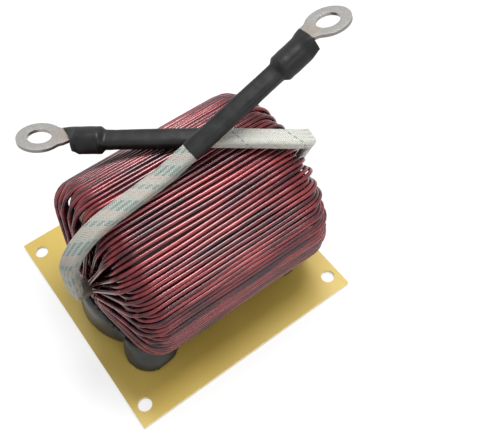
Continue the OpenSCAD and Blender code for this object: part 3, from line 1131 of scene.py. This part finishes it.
@dataclass
class WovenSleeve:
    """Braided glass sleeve: yarns that pass over and under each other round a flat bundle.

    Attributes:
        lead: Lead that it covers.
        carriers: Yarns of each hand.
        pitch: Length in which a yarn goes once round.
        rise: How far a yarn swings out and in as it crosses the others.
        crown: How far a yarn's edges lie below its middle.
        thick: Thickness of a yarn.
        spread: Half a yarn's width, as a share of its lane.
        foot: How far the sleeve starts from the end of the centre line.
        liner: Depth of the closed skin that fills the gaps between yarns.
        liner_sides: Points in a ring of that skin.
        arc: Largest turn from ring to ring, in degrees.
        pace: Largest distance from ring to ring.
        turn_from: Run at which the sleeve begins to turn to the source's wide axis.
        turn_end: Distance from its end at which it has turned.
    """

    lead: Lead
    carriers: int = 24
    pitch: float = 19.0
    rise: float = 0.075
    crown: float = 0.05
    thick: float = 0.11
    spread: float = 0.47
    foot: float = 0.4
    liner: float = 0.17
    liner_sides: int = 24
    arc: float = 5.0
    pace: float = 0.45
    turn_from: float = 12.0
    turn_end: float = 4.0

    def stations(self) -> list[Station]:
        """Sample the sleeve's centre line.

        Returns:
            Stations from the mouth of the winding to just inside the shrunk tube, where the wide
            axis has turned to that of the source's route.
        """
        lead = self.lead
        start = lead.laid.corners[0] + lead.laid.legs()[0] * self.foot
        route = Route([start, *lead.laid.corners[1:]], lead.laid.bends).cut(lead.sleeve_end)
        stations = route.stations(lead.wide, self.arc, self.pace)
        goal, last = lead.route.wides(lead.wide)[-1], stations[-1]
        slip = math.atan2(goal.dot(last.thin), goal.dot(last.wide))
        for station in stations:
            turn = slip * ease(station.run, self.turn_from, last.run - self.turn_end)
            wide, thin = station.wide, station.thin
            station.wide = wide * math.cos(turn) + thin * math.sin(turn)
            station.thin = thin * math.cos(turn) - wide * math.sin(turn)
        return stations

    def yarn_rings(self, stations: list[Station], number: int, hand: int) -> list[list[Vector]]:
        """Shape one yarn.

        Args:
            stations: Stations along the lead.
            number: Yarn number within its hand.
            hand: 1 for the yarns that wind one way, -1 for the others.

        Returns:
            Rings of six points, in metres.
        """
        rings, half = [], self.spread / self.carriers
        profile = ((-1, -self.crown), (-0.45, 0), (0.45, 0), (1, -self.crown),
                   (0.8, -self.thick), (-0.8, -self.thick))
        for station in stations:
            section = self.lead.section(station.run)
            crossed = 2 * station.run * self.carriers / self.pitch
            share = number / self.carriers + hand * station.run / self.pitch
            height = hand * self.rise * math.cos(
                math.pi / 2 * (2 * number + hand * crossed - 0.5))
            ring = []
            for offset, drop in profile:
                place, normal = section.at(share + offset * half)
                ring.append(station.at(place + normal * (height + drop)))
            rings.append(ring)
        return rings

    def liner_ring(self, station: Station) -> list[Vector]:
        """Shape one ring of the closed liner.

        Args:
            station: Station on the lead.

        Returns:
            Points in metres.
        """
        section, count = self.lead.section(station.run), self.liner_sides
        places = (section.at(i / count) for i in range(count))
        return [station.at(place - normal * self.liner) for place, normal in places]

    def build(self, material: bpy.types.Material) -> None:
        """Make the sleeve's yarns and the liner under them.

        Args:
            material: Glass yarn.
        """
        stations, bm = self.stations(), bmesh.new()
        uv = bm.loops.layers.uv.new("UVMap")
        tint = bm.verts.layers.float.new("tracer")
        for hand in (1, -1):
            for number in range(self.carriers):
                rows = loft(bm, self.yarn_rings(stations, number, hand))
                marked = self.lead.tracers.get(hand * (number + 1), 0.0)
                for row, station in zip(rows, stations):
                    for column, vert in enumerate(row):
                        vert[tint] = marked
                        for corner in vert.link_loops:
                            # Across the yarn, with an offset of its own, and along it.
                            corner[uv].uv = (column / 6 + number * 0.37, station.run * 0.01)
                cap(bm, rows)
        cap(bm, loft(bm, [self.liner_ring(station) for station in stations[::2]]))
        mesh = mesh_from(bm, f"{self.lead.name}_woven_sleeve")
        mesh.materials.append(material)
        obj = new_object(f"{self.lead.name}_woven_sleeve", mesh)
        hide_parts(f"{self.lead.name}_sleeve")
        LOG.info("%s: %d faces", obj.name, len(mesh.polygons))


@dataclass
class HeatShrink:
    """Shrunk tube: snug on the flat sleeve, a step up to the barrel and a lip round the neck.

    Attributes:
        lead: Lead that it covers.
        sides: Points in a ring.
        pace: Distance from ring to ring.
        wall: How far the outside lies over what it covers.
        inside: How far the inside does.
        sleeve_gap: Clear space round the sleeve.
        barrel_gap: Clear space round the barrel.
        back_gap: Distance from the barrel's back to the top of the step.
        slope: Length of the step.
        back_end: Distance from the lug's root to where the part on the sleeve begins.
        turn_in: How far the skin turns in at the sleeve's end.
        mouth_in: How far it turns in at the mouth.
        lip_half: Half width of the lip.
        lip_over: Height of the lip over the neck's bend.
        lip_under: Height of the lip under the barrel's axis.
        sleeve_square: Squareness of the section on the sleeve, where 2 is an ellipse.
        barrel_square: Squareness on the barrel.
        lip_square: What the lip adds to it.
        waist: Share by which the tube draws in behind the step.
        waist_at: Distance from the step's top back to the waist.
        waist_reach: Length over which the waist is felt.
        wrinkle: Depth of the creases at the step.
        wrinkle_far: Share of it that the rest of the tube has.
        wrinkle_at: Distance from the step's top back to the deepest creases.
        wrinkle_reach: Length over which they are that deep.
        crease_along: Length of a crease along the tube.
        crease_round: Length of a crease round it.
        slant_from: How far behind the barrel's front the rings begin to slant.
    """

    lead: Lead
    sides: int = 56
    pace: float = 0.6
    wall: float = 0.34
    inside: float = 0.05
    sleeve_gap: float = 0.06
    barrel_gap: float = 0.05
    back_gap: float = 0.2
    slope: float = 2.0
    back_end: float = 14.3
    turn_in: float = 2.5
    mouth_in: float = 2.0
    lip_half: float = 4.55
    lip_over: float = 1.95
    lip_under: float = 1.5
    sleeve_square: float = 2.8
    barrel_square: float = 2.4
    lip_square: float = 2.0
    waist: float = 0.025
    waist_at: float = 7.0
    waist_reach: float = 5.0
    wrinkle: float = 0.16
    wrinkle_far: float = 0.35
    wrinkle_at: float = 1.0
    wrinkle_reach: float = 3.0
    crease_along: float = 2.2
    crease_round: float = 5.0
    slant_from: float = 2.0

    def skin(self, x: float, angle: float, outer: bool) -> Vector:
        """Place on the tube's skin.

        Args:
            x: Place along the barrel's axis.
            angle: Angle round the axis.
            outer: Whether the outside skin is meant.

        Returns:
            Place across and out of the lug's flat side, in the lug's frame.
        """
        lead, sleeve = self.lead, Section(*self.lead.plain)
        back = -lead.barrel_l - self.back_gap
        up = ease(x, back - self.slope, back)
        lip = ease(x, -lead.barrel_front, lead.mouth_x)
        snug = 1 - self.waist * bump_at(x, back - self.waist_at, self.waist_reach)
        c, s = math.cos(angle), math.sin(angle)
        over = lead.barrel_r + self.barrel_gap
        edge = lead.lift + self.lip_over if s > 0 else self.lip_under
        w = ((sleeve.half_w * snug + self.sleeve_gap) * (1 - up)
             + (over + (self.lip_half - over) * lip) * up)
        h = ((sleeve.half_t * snug + self.sleeve_gap) * (1 - up)
             + (over + (edge - over) * lip) * up)
        power = 2 / (self.sleeve_square * (1 - up)
                     + (self.barrel_square + self.lip_square * lip) * up)
        more = self.wall if outer else self.inside
        a = math.copysign(abs(c) ** power, c) * (w + more)
        b = math.copysign(abs(s) ** power, s) * (h + more)
        roll = lead.roll() * (1 - up)
        place = Vector((a * math.cos(roll) - b * math.sin(roll),
                        a * math.sin(roll) + b * math.cos(roll)))
        if outer:
            # The side's number takes each lead to a place of its own in the noise.
            crease = noise.noise(Vector((x / self.crease_along, place.x / self.crease_round,
                                         place.y / self.crease_round + 9 * lead.side.value)))
            deep = self.wrinkle_far + bump_at(x, back - self.wrinkle_at, self.wrinkle_reach)
            place *= 1 + self.wrinkle * deep * crease / place.length
        return place

    def ring(self, x: float, outer: bool) -> list[Vector]:
        """Ring of the skin, which slants towards the mouth.

        Args:
            x: Place along the barrel's axis.
            outer: Whether the outside skin is meant.

        Returns:
            Points in metres.
        """
        lead, points = self.lead, []
        base = lead.lug_frame()
        share = ease(x, -lead.barrel_front - self.slant_from, lead.mouth_x)
        for angle in circle(self.sides):
            place = self.skin(x, angle, outer)
            across = clamp(place.x / lead.barrel_r, -1.0)
            shift = (lead.slant * across - lead.scoop * (1 - across * across)) * share
            points.append((base @ Vector((x + shift, place.x, place.y))) * MM)
        return points

    def build(self, material: bpy.types.Material) -> None:
        """Make the tube as one skin that turns in at both ends.

        Args:
            material: Tube finish.
        """
        lead = self.lead
        start, mouth = -self.back_end - lead.shrink_run, lead.mouth_x
        length = mouth - start
        count = int(length / self.pace)
        places = [start + length * i / count for i in range(1, count)]
        rings = [self.ring(start + self.turn_in, False), self.ring(start, False)]
        rings += [self.ring(x, True) for x in (start + 0.02, *places, mouth - 0.1)]
        rings += [self.ring(mouth, False), self.ring(mouth - self.mouth_in, False)]
        bm = bmesh.new()
        loft(bm, rings)
        mesh = mesh_from(bm, f"{lead.name}_shrunk_tube")
        mesh.materials.append(material)
        obj = new_object(f"{lead.name}_shrunk_tube", mesh)
        bevel(obj, width=0.1, segments=2, angle=50)
        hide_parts(f"{lead.name}_heat_shrink")
        LOG.info("%s: %d faces", obj.name, len(mesh.polygons))


@dataclass
class RingLug:
    """Stamped ring lug with soft edges: ring, neck that narrows into the tube, and barrel.

    Attributes:
        lead: Lead that it ends.
        ring_r: Outside radius of the ring.
        hole_r: Radius of the screw hole.
        thick: Thickness of the plate.
        rise: Height of the plate over the bend's axis.
        reach: Distance from the neck's bend to the hole.
        tail: How far the plate goes on into the tube.
        neck_half: Half width of the neck outside the tube.
        neck_at: How far in front of its bend the neck begins to narrow.
        root_half: Half width of the neck at its root.
        blend: Half of the range in which the ring flows into the neck.
        bore_r: Radius of the barrel's bore.
        plug: Thickness of the barrel's closed front.
        around: Points round the ring.
        sides: Points round the barrel.
        shares: Places of the rings between the barrel and the plate.
        sheared: Share of the plate's thickness above and under its sheared rim.
    """

    lead: Lead
    ring_r: float = 8.0
    hole_r: float = 4.2
    thick: float = 1.2
    rise: float = 0.3
    reach: float = 8.2
    tail: float = 2.4
    neck_half: float = 4.4
    neck_at: float = 0.2
    root_half: float = 2.7
    blend: float = 1.8
    bore_r: float = 3.02
    plug: float = 0.4
    around: int = 128
    sides: int = 48
    shares: Triple = (0.35, 0.7, 1.0)
    sheared: float = 0.2

    def rim(self, angle: float) -> float:
        """Distance from the hole's centre to the plate's outline.

        Args:
            angle: Angle from the ring's far side, in radians.

        Returns:
            Distance.
        """
        c, s = math.cos(angle), max(abs(math.sin(angle)), 1e-6)
        if c >= 0:
            return self.ring_r
        front, back = self.reach - self.neck_at, self.reach + self.tail
        run, drop = back - front, self.neck_half - self.root_half
        side = (self.neck_half * run + front * drop) / (s * run - c * drop)
        neck = min(self.neck_half / s, back / -c, side)
        gap = neck - self.ring_r
        if gap > self.blend:
            return neck
        if gap < -self.blend:
            return self.ring_r
        return self.ring_r + (gap + self.blend) ** 2 / (4 * self.blend)

    def flat_frame(self) -> Matrix:
        """Find the frame of the ring's underside.

        Returns:
            Frame with its origin at the neck's bend and X towards the hole, in millimetres.
        """
        lead = self.lead
        return (lead.lug_frame() @ Matrix.Translation((1, 0, lead.lift))
                @ Matrix.Rotation(math.radians(lead.bend), 4, "Y")
                @ Matrix.Rotation(math.radians(lead.yaw), 4, "Z")
                @ Matrix.Translation((0, 0, self.rise)))

    def ring_loops(self) -> list[list[Vector]]:
        """Shape the plate.

        Returns:
            Loops round the hole's bottom, the outline's bottom, its top and the hole's top.
        """
        base, loops = self.flat_frame(), []
        for outline, z in ((False, 0.0), (True, 0.0), (True, self.thick), (False, self.thick)):
            loop = []
            for angle in circle(self.around):
                r = self.rim(angle) if outline else self.hole_r
                point = Vector((self.reach + r * math.cos(angle), r * math.sin(angle), z))
                loop.append((base @ point) * MM)
            loops.append(loop)
        return loops

    def barrel_ring(self, x: float, radius: float) -> list[Vector]:
        """Shape one round ring of the barrel.

        Args:
            x: Place along its axis.
            radius: Radius of the ring.

        Returns:
            Points in millimetres.
        """
        base = self.lead.lug_frame()
        return [base @ Vector((x, radius * math.cos(a), radius * math.sin(a)))
                for a in circle(self.sides)]

    def barrel_rings(self) -> list[list[Vector]]:
        """Shape the barrel.

        Returns:
            Rings from its bore, over its outside, to the plate's root.
        """
        lead, flat = self.lead, self.flat_frame()
        back, front = -lead.barrel_l, -lead.barrel_front
        closed = front - self.plug
        rings = [self.barrel_ring(x, r) for x, r in (
            (closed, 0.05), (closed, self.bore_r), (back, self.bore_r),
            (back, lead.barrel_r), (front, lead.barrel_r))]
        tube = self.barrel_ring(front, lead.barrel_r - 0.3)
        root = [flat @ Vector((-self.tail + 0.4, self.root_half * math.cos(a),
                               self.thick * (0.5 + 0.45 * math.sin(a))))
                for a in circle(self.sides)]
        rings += [[a.lerp(b, share) for a, b in zip(tube, root)] for share in self.shares]
        return [[point * MM for point in ring] for ring in rings]

    def is_side(self, point: Vector) -> bool:
        """Whether a point lies half way through the plate's thickness, on its sheared rim."""
        local = self.flat_frame().inverted() @ (point / MM)
        return self.sheared < local.z / self.thick < 1 - self.sheared

    def build(self) -> None:
        """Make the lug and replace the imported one."""
        lead, bm = self.lead, bmesh.new()
        loops = self.ring_loops()
        rows = loft(bm, loops + [loops[0]])
        for quad in {face for vert in rows[1] for face in vert.link_faces}:
            quad.material_index = 1 if self.is_side(quad.calc_center_median()) else 0
        bmesh.ops.remove_doubles(bm, verts=bm.verts, dist=1e-7)
        cap(bm, loft(bm, self.barrel_rings()))
        mesh = mesh_from(bm, f"{lead.name}_ring_lug")
        neck = lead.lug_frame() @ Vector((0.5, 0, lead.lift + 1))
        mesh.materials.append(TinPlate(f"{lead.name}_tin_plate", neck).build())
        mesh.materials.append(
            TinPlate(f"{lead.name}_sheared_edge", neck, base=(0.20, 0.19, 0.18)).build())
        obj = new_object(f"{lead.name}_ring_lug", mesh)
        bevel(obj, width=0.2, segments=3, angle=40)
        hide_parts(f"{lead.name}_lug")
        LOG.info("%s: %d faces", obj.name, len(mesh.polygons))


# ---------------------------------------------------------------------------- board and adhesive


@dataclass
class Board:
    """Glass-epoxy board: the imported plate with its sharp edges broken."""

    edge: float = 0.12

    def build(self) -> None:
        """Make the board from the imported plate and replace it."""
        mesh = bpy.data.objects["base_board"].data.copy()
        mesh.name = "laminate_board"
        bm = bmesh.new()
        bm.from_mesh(mesh)
        bmesh.ops.remove_doubles(bm, verts=bm.verts, dist=1e-7)
        bmesh.ops.dissolve_limit(bm, angle_limit=math.radians(1), verts=bm.verts, edges=bm.edges)
        bm.to_mesh(mesh)
        bm.free()
        mesh.materials.clear()
        mesh.materials.append(GlassEpoxy().build())
        obj = new_object("laminate_board", mesh)
        bevel(obj, self.edge, segments=2, angle=50)
        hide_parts("base_board")
        LOG.info("laminate_board: %d faces", len(mesh.polygons))


@dataclass
class AdhesiveBed:
    """Poured adhesive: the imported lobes, softened and swollen into rounded beads.

    Attributes:
        voxel: Grain of the new mesh.
        softness: Strength of one smoothing pass.
        passes: Smoothing passes.
        swell: How far the whole skin swells.
        ripple: Depth of its waves, above the foot.
        ripple_scale: Waves per metre.
        ripple_from: Height over the board at which the waves have their full depth.
        spill: How far the left edge spreads.
        spill_from: Distance to the left of the board's middle at which it begins to.
        spill_over: How much further out it spreads fully.
        foot: Height under which the skin is laid down on the board.
        film: Clear space between the foot and the board.
    """

    voxel: float = 0.7
    softness: float = 0.5
    passes: int = 14
    swell: float = 0.35
    ripple: float = 0.7
    ripple_scale: float = 130.0
    ripple_from: float = 3.0
    spill: float = 1.7
    spill_from: float = 22.0
    spill_over: float = 10.0
    foot: float = 0.25
    film: float = 0.02

    def softened(self, obj: bpy.types.Object) -> bpy.types.Mesh:
        """Remesh and smooth an object.

        Args:
            obj: Object, which takes the new mesh.

        Returns:
            The new mesh.
        """
        remesh = obj.modifiers.new("remesh", "REMESH")
        remesh.mode, remesh.voxel_size = "VOXEL", self.voxel * MM
        soften = obj.modifiers.new("soften", "SMOOTH")
        soften.factor, soften.iterations = self.softness, self.passes
        graph = bpy.context.evaluated_depsgraph_get()
        mesh = bpy.data.meshes.new_from_object(obj.evaluated_get(graph))
        obj.modifiers.clear()
        obj.data = mesh
        return mesh

    def build(self) -> None:
        """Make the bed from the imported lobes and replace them."""
        obj = new_object("adhesive_beads", bpy.data.objects["adhesive_bed"].data.copy())
        mesh = self.softened(obj)
        board_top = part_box("base_board")[1][2]
        bm = bmesh.new()
        bm.from_mesh(mesh)
        bm.normal_update()
        for vert in bm.verts:
            height, left = (vert.co.z - board_top) / MM, -vert.co.x / MM - self.spill_from
            wave = noise.noise(vert.co * self.ripple_scale)
            push = self.swell + self.ripple * wave * clamp(height / self.ripple_from)
            push += self.spill * clamp(left / self.spill_over) * max(0.0, -vert.normal.x)
            vert.co += vert.normal * push * MM
            if height < self.foot:
                vert.co.z = board_top + self.film * MM
        for face in bm.faces:
            face.smooth = True
        bm.to_mesh(mesh)
        bm.free()
        mesh.materials.clear()
        mesh.materials.append(BlackAdhesive().build())
        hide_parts("adhesive_bed")
        LOG.info("adhesive_beads: %d faces", len(mesh.polygons))


@dataclass
class CoreStack:
    """Coated ring cores and the wrap over them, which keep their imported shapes."""

    coat: PlainCoat = PlainCoat("core_coat", (0.02, 0.055, 0.035), (0.04, 0.08, 0.05), 0.5)
    tape: PlainCoat = PlainCoat("core_tape", (0.022, 0.010, 0.009), (0.045, 0.02, 0.016), 0.4)

    def build(self) -> None:
        """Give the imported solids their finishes."""
        coat, tape = self.coat.build(), self.tape.build()
        for name in ("core_1", "core_2", "core_3", "core_wrap"):
            data = bpy.data.objects[name].data
            data.materials.clear()
            data.materials.append(tape if name == "core_wrap" else coat)
            for face in data.polygons:
                face.use_smooth = False
            LOG.info("%s: dressed", name)


# ---------------------------------------------------------------------------- studio


@dataclass
class Camera:
    """View from above the front left corner, with a slight roll.

    Attributes:
        place: Camera's place.
        azimuth: Way it looks, from Y towards -X, in degrees.
        elevation: Angle by which it looks down, in degrees.
        roll: Roll, in degrees.
        focal: Focal length in pixels.
        width: Width in pixels of the image that focal counts in.
        sensor: Width of the sensor.
    """

    place: Vector = field(default_factory=lambda: Vector((-58.720, -144.373, 266.003)))
    azimuth: float = -32.512
    elevation: float = 56.460
    roll: float = -4.602
    focal: float = 717.31
    width: int = 488
    sensor: float = 36.0

    def build(self) -> None:
        """Place the camera."""
        data = bpy.data.cameras.new("camera")
        data.sensor_width = self.sensor
        data.lens = self.focal / self.width * self.sensor
        data.clip_start, data.clip_end = 0.01, 20
        obj = bpy.data.objects.new("camera", data)
        az, el = math.radians(self.azimuth), math.radians(self.elevation)
        look = Vector((-math.sin(az) * math.cos(el), math.cos(az) * math.cos(el), -math.sin(el)))
        turn = (look.to_track_quat("-Z", "Y").to_matrix()
                @ Matrix.Rotation(math.radians(self.roll), 3, "Z"))
        obj.matrix_world = Matrix.Translation(self.place * MM) @ turn.to_4x4()
        scene = bpy.context.scene
        scene.collection.objects.link(obj)
        scene.camera = obj
        scene.view_settings.view_transform = "Standard"


@dataclass
class Studio:
    """Soft light from the back right, a white floor and a white backdrop.

    Attributes:
        floor_tone: Grey of the floor as the light finds it.
        floor_lift: Share of plain white in the floor as it is seen.
        light_from: Way to the middle of the room's bright half.
        dim: Strength of the room's light on its dim side.
        bright: Strength on its bright side.
        dim_to: Cosine of the angle to the bright half's middle down to which the room is dim.
        bright_from: Cosine from which it is bright.
        aim: Place that the lamps face.
    """

    floor_tone: float = 0.88
    floor_lift: float = 0.68
    light_from: Vector = field(default_factory=lambda: Vector((0.02, 0.36, 0.93)).normalized())
    dim: float = 0.40
    bright: float = 0.66
    dim_to: float = -0.1
    bright_from: float = 0.85
    aim: Vector = field(default_factory=lambda: Vector((0, 0, 35)))

    def light(self, name: str, place: Triple, size: tuple[float, float], power: float) -> None:
        """Add a soft box that faces the winding.

        Args:
            name: Name of the light.
            place: Its place, in metres.
            size: Its width along X and its length, in metres.
            power: Its power, in watts.
        """
        data = bpy.data.lights.new(name, "AREA")
        data.shape, data.size, data.size_y, data.energy = "RECTANGLE", *size, power
        obj = bpy.data.objects.new(name, data)
        obj.location = place
        facing = self.aim * MM - obj.location
        obj.rotation_euler = facing.to_track_quat("-Z", "Y").to_euler()
        bpy.context.scene.collection.objects.link(obj)

    def floor(self) -> None:
        """Make the floor: white to the eye, with a soft shadow."""
        bm = bmesh.new()
        bmesh.ops.create_grid(bm, x_segments=1, y_segments=1, size=6)
        bmesh.ops.translate(bm, verts=bm.verts, vec=(0, 0, -0.0002))
        floor = bpy.data.objects.new("floor", mesh_from(bm, "floor", smooth=False))
        bpy.context.scene.collection.objects.link(floor)
        n = Nodes.material("floor_paper")
        n.set(Base_Color=(self.floor_tone,) * 3 + (1,), Roughness=0.9)
        white = n.add("ShaderNodeEmission", Strength=1.0)
        blend = n.feed_all(n.add("ShaderNodeMixShader"), n.times(n.watched(), self.floor_lift),
                           n.shader.outputs[0], white.outputs[0])
        n.feed(n.tree.nodes["Material Output"].inputs["Surface"], blend)
        floor.data.materials.append(n.owner)

    def room(self) -> None:
        """Make the room's light: bright behind and above, dim in front, white where it is seen."""
        n = Nodes(bpy.data.worlds.new("soft_room"), "Background")
        bpy.context.scene.world = n.owner
        facing = n.add("ShaderNodeVectorMath", operation="DOT_PRODUCT")
        n.feed_all(facing, n.coords.outputs["Generated"], self.light_from)
        level = n.feed_all(n.add("ShaderNodeMapRange", interpolation_type="SMOOTHSTEP"),
                           facing.outputs["Value"], self.dim_to, self.bright_from, self.dim,
                           self.bright)
        white = n.add("ShaderNodeMix")
        for index, value in ((0, n.watched()), (2, level), (3, 1.0)):
            n.feed(white.inputs[index], value)
        n.set(Color=(1, 1, 1, 1), Strength=white.outputs[0])

    def build(self) -> None:
        """Make the floor, the room and the lamps."""
        self.floor()
        self.room()
        self.light("key", place=(0.15, 0.05, 0.66), size=(0.36, 0.14), power=4.2)
        self.light("front", place=(0.13, -0.60, 0.40), size=(0.36, 0.10), power=0.8)


# ---------------------------------------------------------------------------- assembly


def leads_for(centre: Vector, winding: Winding) -> dict[Side, Lead]:
    """Lay out both leads as the part's source does.

    Args:
        centre: Middle of the core stack.
        winding: Winding that they leave.

    Returns:
        Lead by side.
    """
    x, y, z = centre
    drum, tube, gap = 2 * 0.88 + 34.95 + 0.02, 2.69, 0.2
    rest = z + drum + tube + gap
    out = x - 47.95
    start = Route([Vector((x - 42, y, z)), Vector((out, y, z)),
                   Vector((out, y - 5.2, rest - 0.2)), Vector((-2.8, y - 3.5, rest)),
                   Vector((57.3, -10.2, rest + 22.2))], [0, 4.2, 15, 30, 0])
    start_laid = Route([start.corners[0], Vector((out - 2.0, y - 0.4, z + 1.0)),
                        Vector((out - 0.6, y - 8.2, rest - 0.6)), *start.corners[3:]],
                       [0, 3.4, 19, 30, 0])
    finish = Route([Vector((x + 42, y, z)), Vector((x + 49.2, y, z)),
                    Vector((50.2, y - 13, rest - 11.7)), Vector((44.5, y - 18.4, rest - 3.1)),
                    Vector((20, y - 2.3, rest + 0.8)), Vector((-20.6, 25.4, rest - 3))],
                   [0, 4.2, 12, 7, 30, 0])
    finish_laid = Route(finish.corners, [0, 4.2, 13, 9.5, 30, 0])
    teal, rose = 1.0, 0.5
    bands = ({n: teal for n in (1, 2, 3, 4, 5, 6, 7, 14, 15, 16)}
             | {n: rose for n in (8, 9, 10, 19, 20, -6, -7)})
    flat = Vector((0, 1, 0))
    return {
        Side.START: Lead(
            Side.START, "start", start, start_laid, wide=spin_x(flat, winding.gather_tilt),
            up=Vector((-0.3, 0.3, 1)), shrink_run=38.6, mouth_x=0.9, slant=0.0, scoop=0.0,
            lift=2.3, bend=14, yaw=0, tone=0.50, tracers=bands, barrel_l=12.2, sleeve_end=48.9),
        Side.FINISH: Lead(
            Side.FINISH, "finish", finish, finish_laid, wide=spin_x(flat, winding.finish_tilt),
            up=Vector((0.17, 0.2, 0.97)), shrink_run=36.0, mouth_x=-0.1, slant=-2.4, scoop=0.7,
            lift=0.85, bend=-8, yaw=14, tone=0.80, tracers={5: teal, 17: rose}, barrel_l=11.8,
            sleeve_end=46.3),
    }


def main() -> None:
    """Build every piece in order."""
    logging.basicConfig(level=logging.INFO, format="%(name)s: %(message)s")
    Camera().build()
    Studio().build()
    low, high = (Vector(c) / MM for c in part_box("core_wrap"))
    centre = (low + high) / 2
    winding = Winding(centre, wrap_r=(high.y - low.y) / 2)
    leads = leads_for(centre, winding)
    CoreStack().build()
    winding.build(leads, Enamel().build())
    tube = ShrinkTube().build()
    for lead in leads.values():
        foot = lead.route.corners[0] + Vector((0, 0, -1.5))
        WovenSleeve(lead).build(GlassYarn(f"{lead.name}_glass_yarn", lead.tone, foot).build())
        HeatShrink(lead).build(tube)
        RingLug(lead).build()
    Board().build()
    AdhesiveBed().build()
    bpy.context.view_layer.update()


if __name__ == "__main__":
    main()
